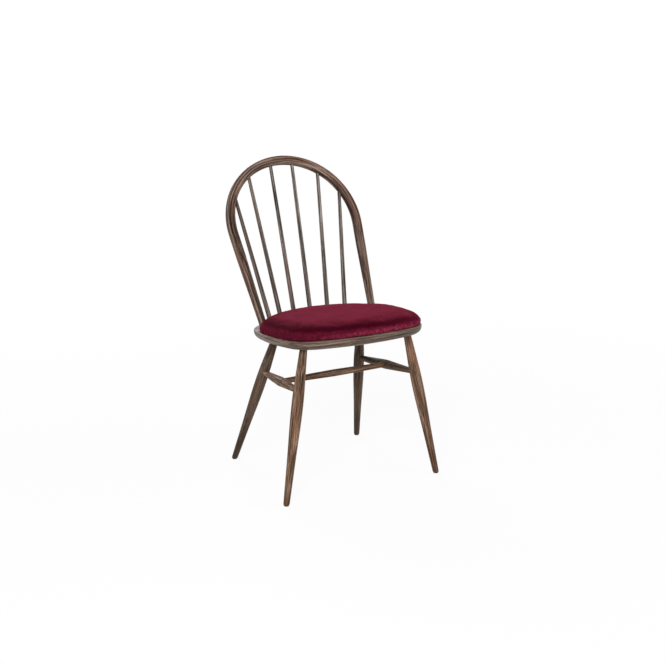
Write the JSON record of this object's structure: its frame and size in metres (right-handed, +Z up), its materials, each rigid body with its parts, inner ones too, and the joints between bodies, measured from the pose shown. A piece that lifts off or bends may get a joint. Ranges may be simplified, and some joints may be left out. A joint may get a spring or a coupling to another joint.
{
  "type": "windsor chair",
  "caption": "Bow-back windsor side chair: turned splayed legs with stretchers, round back spindles under a bent bow, and a velvet seat pad on a tilted wooden seat.",
  "frame": {"origin": "on the floor, at the middle of the chair's footprint and of its overall width and depth", "axes": "+Z up, -Y the way the sitter faces, +X the sitter's left; the chair is mirror-symmetric about the YZ plane"},
  "size_m": [0.491, 0.5219, 0.8578],
  "materials": {
    "seat_wood": "dark stain under satin lacquer",
    "bent_wood": "dark stain under satin lacquer",
    "turned_wood": "dark stain under satin lacquer",
    "wedge_wood": "bare",
    "plywood": "bare",
    "velvet": "short pile",
    "foam": "open cell",
    "dust_cloth": "thin non-woven",
    "steel": "plain",
    "nylon": "moulded"
  },
  "bodies": {
    "root": {"seat_board": "seat_wood", "back_bow": "bent_wood", "spindle_1": "turned_wood", "spindle_2": "turned_wood", "spindle_3": "turned_wood", "spindle_4": "turned_wood", "spindle_5": "turned_wood", "spindle_6": "turned_wood", "leg_front_left": "turned_wood", "leg_front_right": "turned_wood", "leg_rear_left": "turned_wood", "leg_rear_right": "turned_wood", "side_stretcher_left": "turned_wood", "side_stretcher_right": "turned_wood", "cross_stretcher": "turned_wood", "leg_wedges": "wedge_wood", "bow_wedges": "wedge_wood", "pad_cover": "velvet", "pad_foam": "foam", "pad_board": "plywood", "pad_lining": "dust_cloth", "pad_staples": "steel", "pad_screws": "steel", "glide_front_left": "nylon", "glide_front_right": "nylon", "glide_rear_left": "nylon", "glide_rear_right": "nylon", "glide_nails": "steel"}
  },
  "joints": []
}
